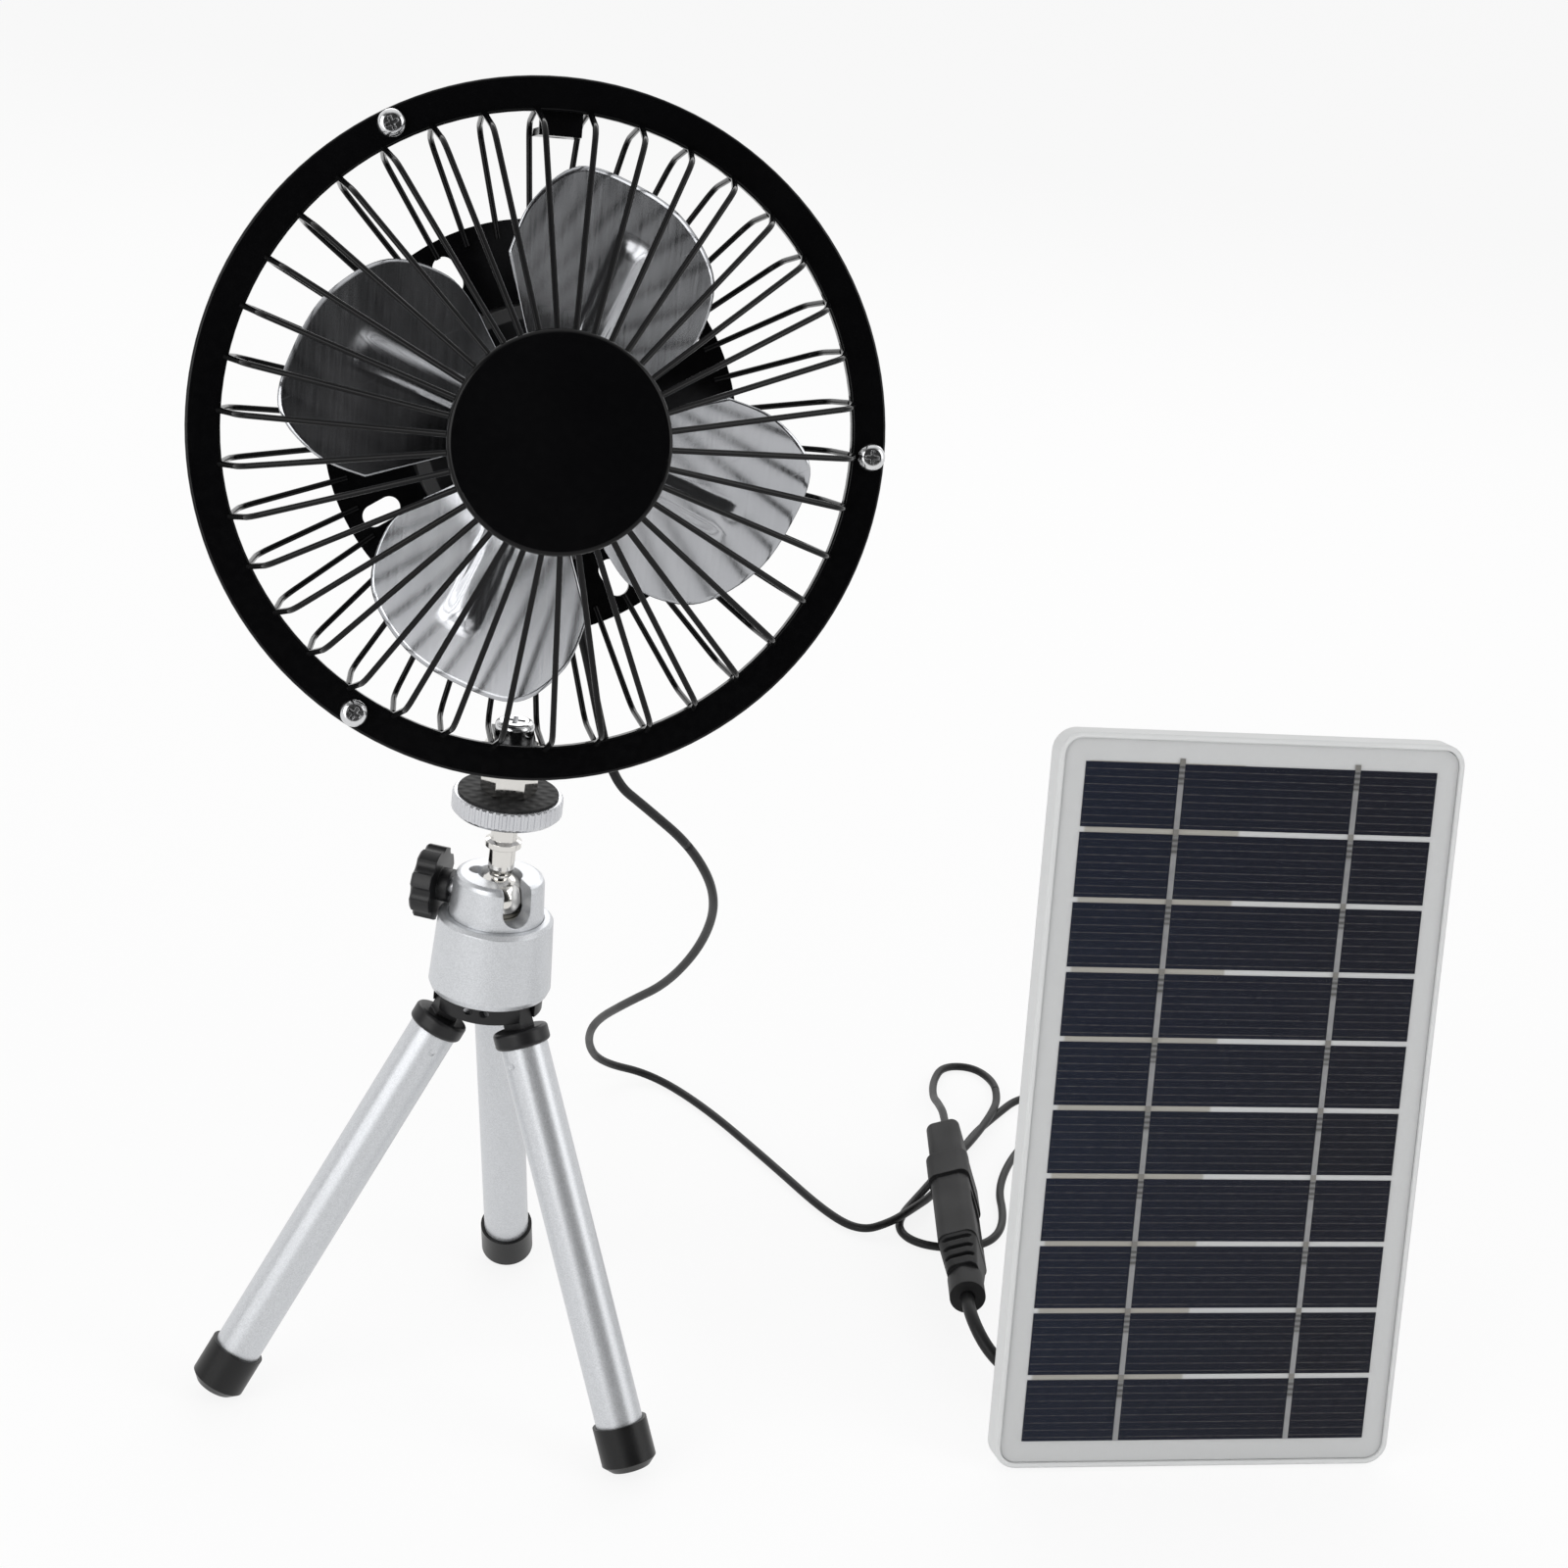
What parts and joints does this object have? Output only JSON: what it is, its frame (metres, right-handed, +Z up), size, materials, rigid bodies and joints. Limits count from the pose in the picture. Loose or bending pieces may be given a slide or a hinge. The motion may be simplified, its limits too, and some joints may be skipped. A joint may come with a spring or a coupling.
{
  "type": "solar desk fan",
  "caption": "Small guarded metal fan on a folding tripod with a ball head, joined by a cord and in-line plug to a leaning solar panel.",
  "frame": {"origin": "centre of the set's outline on the floor, cords and connectors left out", "axes": "+Z up; -Y is the side the fan and the panel face"},
  "size_m": [0.2746, 0.2145, 0.2786],
  "materials": {
    "guard_paint": "gloss black enamel over steel",
    "blade_aluminium": "brushed, unpainted",
    "zinc_screws": "bright plated steel",
    "motor_steel": "zinc plated steel",
    "bearing_bronze": "sintered bronze",
    "magnet_ferrite": "dark sintered ferrite",
    "nickel_parts": "polished nickel plate",
    "knurled_metal": "turned and knurled",
    "silver_paint": "satin silver paint",
    "black_plastic": "moulded, fine grain",
    "black_rubber": "moulded",
    "seat_nylon": "natural nylon",
    "cell_blue": "dark blue silicon under the cover",
    "cell_backing": "white sheet",
    "ribbon_tin": "tinned copper",
    "cover_pet": "clear laminated film",
    "tray_plastic": "light grey moulding",
    "cord_pvc": "soft black jacket",
    "connector_pvc": "fine grained overmould"
  },
  "bodies": {
    "base": {"leg_housing": "silver_paint", "ball_cup": "silver_paint", "ball_seat": "seat_nylon", "base_plate": "black_plastic", "base_pins": "motor_steel", "panel_tray": "tray_plastic", "cell_backing": "cell_backing", "solar_cells": "cell_blue", "bus_ribbons": "ribbon_tin", "clear_cover": "cover_pet", "junction_box": "black_plastic", "junction_lid": "black_plastic", "cable_gland": "connector_pvc", "stand_pin": "motor_steel", "usb_socket_body": "connector_pvc", "usb_socket_shell": "nickel_parts", "socket_tongue": "black_plastic", "fan_cord_drop": "cord_pvc", "fan_cord_floor": "cord_pvc", "fan_cord_plug": "cord_pvc", "panel_lead": "cord_pvc"},
    "ball_head": {"ball_stem": "nickel_parts"},
    "lock_disc": {"platform_disc": "knurled_metal", "rubber_pad": "black_rubber"},
    "fan": {"front_ring": "guard_paint", "rear_ring": "guard_paint", "front_wires": "guard_paint", "rear_wires": "guard_paint", "front_cap": "guard_paint", "rear_plate": "guard_paint", "guard_fasteners": "zinc_screws", "mounting_tabs": "guard_paint", "motor_housing": "black_plastic", "cord_grommet": "black_rubber", "motor_can": "motor_steel", "motor_bearings": "bearing_bronze", "motor_magnets": "magnet_ferrite", "motor_mount": "motor_steel", "hex_coupling": "nickel_parts", "tab_screw": "zinc_screws", "fan_cord_cage": "cord_pvc"},
    "blades": {"motor_shaft": "motor_steel", "motor_armature": "motor_steel", "blade_hub": "knurled_metal", "fan_blade": "blade_aluminium", "blade_nut": "motor_steel"},
    "knob": {"clamp_screw": "motor_steel", "lock_knob": "black_plastic"},
    "stand": {"stand_flap": "tray_plastic"},
    "plug": {"usb_plug_body": "connector_pvc", "usb_plug_shell": "nickel_parts"},
    "leg_1": {"leg_hinge_1": "black_plastic", "leg_tube_1": "silver_paint", "foot_1": "black_rubber"},
    "leg_2": {"leg_hinge_2": "black_plastic", "leg_tube_2": "silver_paint", "foot_2": "black_rubber"},
    "leg_3": {"leg_hinge_3": "black_plastic", "leg_tube_3": "silver_paint", "foot_3": "black_rubber"}
  },
  "joints": [
    {"name": "ball_tilt", "type": "hinge", "parent": "base", "child": "ball_head", "pos_m": [-0.06818, -0.01011, 0.1138], "axis": [0.848, 0.5299, 0], "range_deg": [-12, 85], "deforming": ["fan_cord_drop"]},
    {"name": "fan_turn", "type": "hinge", "parent": "ball_head", "child": "fan", "pos_m": [-0.06818, -0.01011, 0.145], "axis": [0, 0, 1], "range_deg": [-90, 90]},
    {"name": "disc_turn", "type": "hinge", "parent": "ball_head", "child": "lock_disc", "pos_m": [-0.06818, -0.01011, 0.135], "axis": [0, 0, 1], "continuous": true},
    {"name": "blade_spin", "type": "hinge", "parent": "fan", "child": "blades", "pos_m": [-0.06908, -0.0056, 0.2119], "axis": [0.1897, -0.9494, 0.2504], "continuous": true},
    {"name": "knob_turn", "type": "hinge", "parent": "base", "child": "knob", "pos_m": [-0.06818, -0.01011, 0.1138], "axis": [-0.9781, 0.2079, 0], "range_deg": [0, 360]},
    {"name": "leg_fold_1", "type": "hinge", "parent": "base", "child": "leg_1", "pos_m": [-0.06255, -0.01426, 0.0922], "axis": [0.5934, 0.8049, 0], "range_deg": [0, 26]},
    {"name": "leg_fold_2", "type": "hinge", "parent": "base", "child": "leg_2", "pos_m": [-0.0674, -0.00315, 0.0922], "axis": [-0.9938, 0.1115, 0], "range_deg": [0, 26]},
    {"name": "leg_fold_3", "type": "hinge", "parent": "base", "child": "leg_3", "pos_m": [-0.07459, -0.01291, 0.0922], "axis": [0.4003, -0.9164, 0], "range_deg": [0, 26]},
    {"name": "stand_fold", "type": "hinge", "parent": "base", "child": "stand", "pos_m": [0.09375, 0.01771, 0.09735], "axis": [-0.9681, -0.2504, 0], "range_deg": [0, 23.6]},
    {"name": "plug_pull", "type": "slide", "parent": "base", "child": "plug", "axis": [-0.0698, 0.9976, 0], "range_m": [0, 0.0125], "deforming": ["fan_cord_plug"]}
  ]
}
